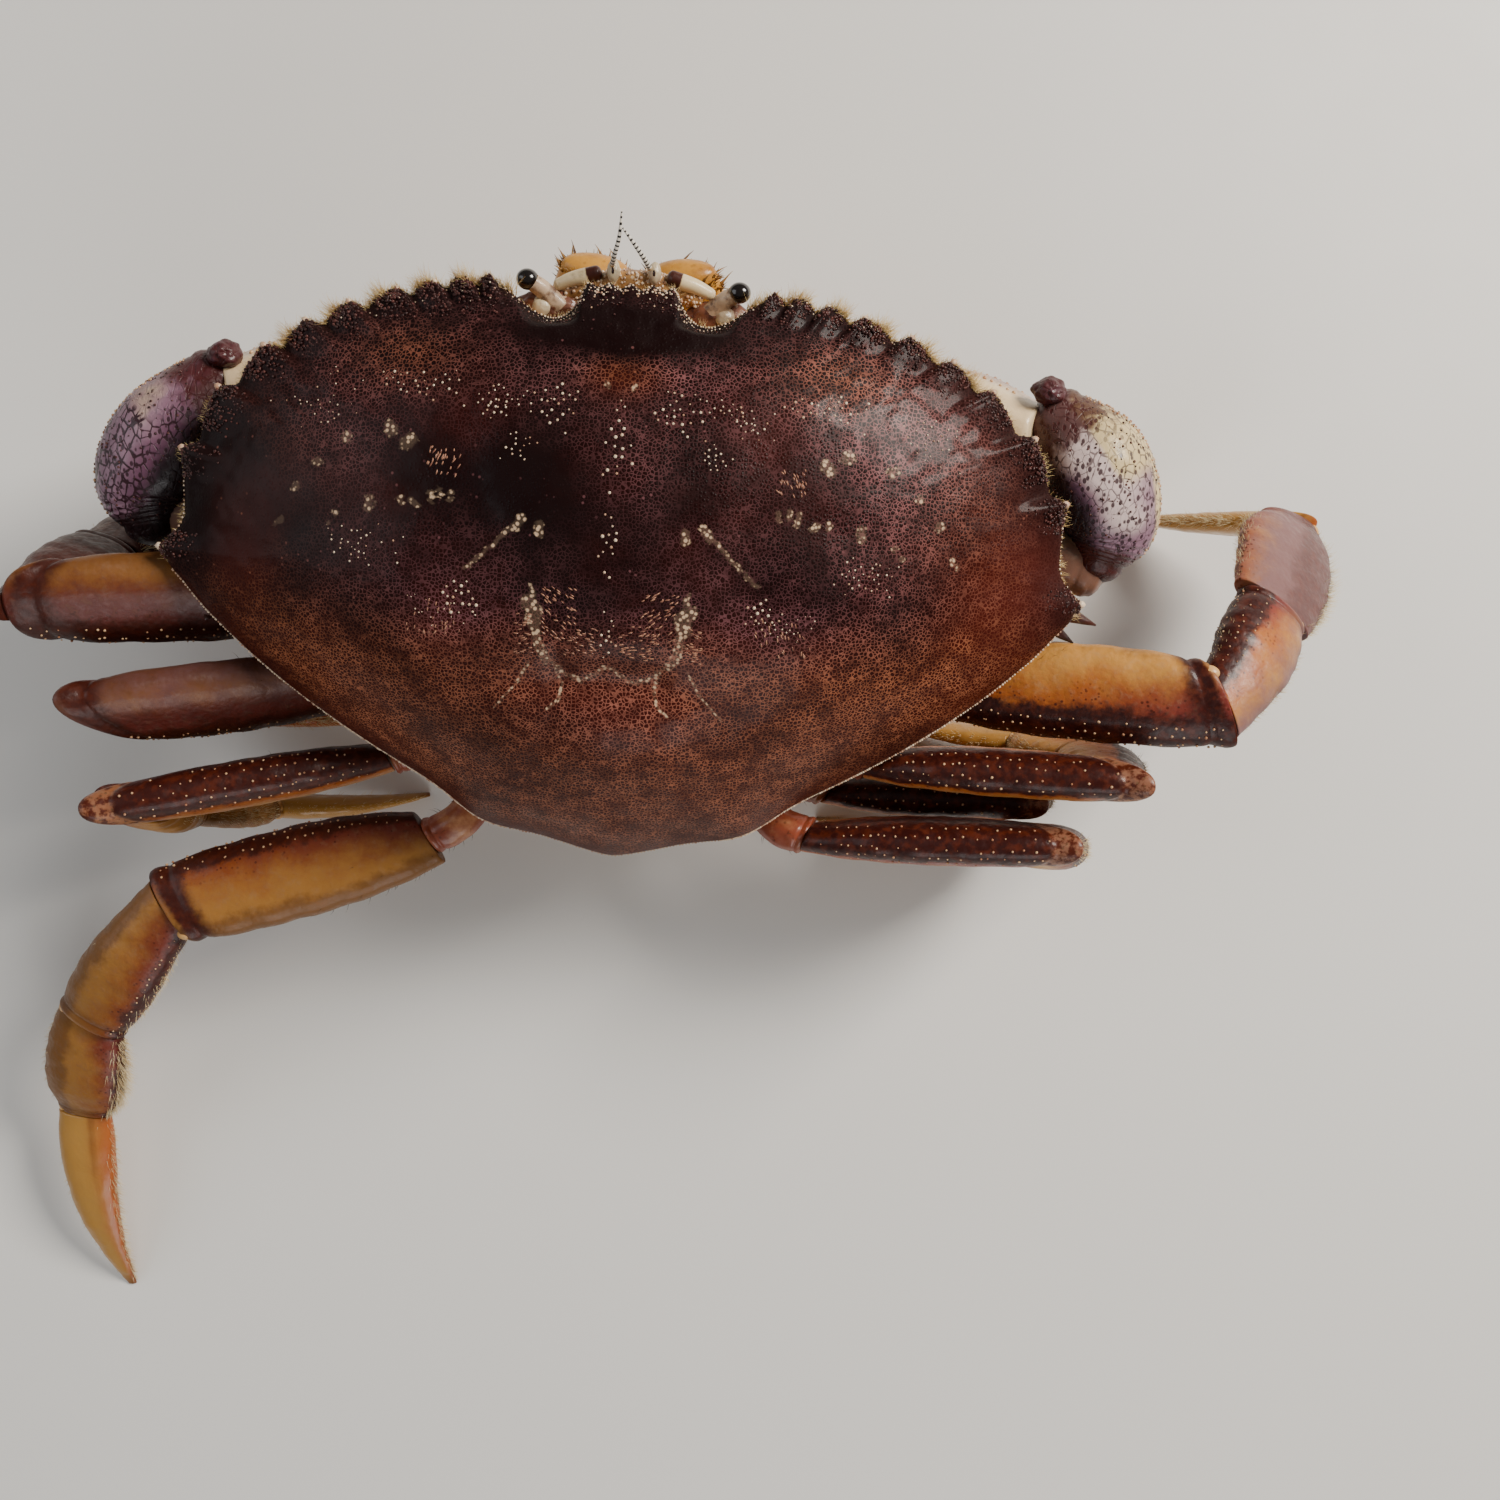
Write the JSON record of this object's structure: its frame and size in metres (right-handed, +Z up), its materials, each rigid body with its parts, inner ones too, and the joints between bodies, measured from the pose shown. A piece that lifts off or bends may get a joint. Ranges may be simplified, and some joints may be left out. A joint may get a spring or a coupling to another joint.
{
  "type": "dungeness crab",
  "caption": "Still life-size dungeness crab standing on its leg tips, both claws folded under the front of its wide toothed shell.",
  "frame": {"origin": "centre of the box's bottom face, on the floor under the crab", "axes": "+Z up through the back, -Y towards the crab's face, +X towards the crab's left side"},
  "size_m": [0.2622, 0.2238, 0.0896],
  "materials": {
    "shell": "wet semi-gloss shell, dark purple brown with fine dark spots",
    "underside": "cream to pale orange shell",
    "leg": "amber and maroon shell with pale grains",
    "tip": "yellow amber, brown at the end",
    "claw": "lilac and cream shell with a dark purple network",
    "mouthparts": "ochre shell with short bristles",
    "eye": "glossy black"
  },
  "bodies": {
    "root": {"carapace": "shell", "thorax": "underside", "abdomen": "underside", "eye_left": "eye", "antenna_left": "mouthparts", "maxilliped_left": "mouthparts", "eye_right": "eye", "antenna_right": "mouthparts", "maxilliped_right": "mouthparts", "claw_left_coxa": "claw", "claw_left_merus": "claw", "claw_left_carpus": "claw", "claw_left_palm": "claw", "claw_left_finger": "claw", "claw_right_coxa": "claw", "claw_right_merus": "claw", "claw_right_carpus": "claw", "claw_right_palm": "claw", "claw_right_finger": "claw", "leg_left_1_coxa": "leg", "leg_left_1_merus": "leg", "leg_left_1_carpus": "leg", "leg_left_1_propodus": "leg", "leg_left_1_dactyl": "tip", "leg_left_2_coxa": "leg", "leg_left_2_merus": "leg", "leg_left_2_carpus": "leg", "leg_left_2_propodus": "leg", "leg_left_2_dactyl": "tip", "leg_left_3_coxa": "leg", "leg_left_3_merus": "leg", "leg_left_3_carpus": "leg", "leg_left_3_propodus": "leg", "leg_left_3_dactyl": "tip", "leg_left_4_coxa": "leg", "leg_left_4_merus": "leg", "leg_left_4_carpus": "leg", "leg_left_4_propodus": "leg", "leg_left_4_dactyl": "tip", "leg_right_1_coxa": "leg", "leg_right_1_merus": "leg", "leg_right_1_carpus": "leg", "leg_right_1_propodus": "leg", "leg_right_1_dactyl": "tip", "leg_right_2_coxa": "leg", "leg_right_2_merus": "leg", "leg_right_2_carpus": "leg", "leg_right_2_propodus": "leg", "leg_right_2_dactyl": "tip", "leg_right_3_coxa": "leg", "leg_right_3_merus": "leg", "leg_right_3_carpus": "leg", "leg_right_3_propodus": "leg", "leg_right_3_dactyl": "tip", "leg_right_4_coxa": "leg", "leg_right_4_merus": "leg", "leg_right_4_carpus": "leg", "leg_right_4_propodus": "leg", "leg_right_4_dactyl": "tip"}
  },
  "joints": []
}
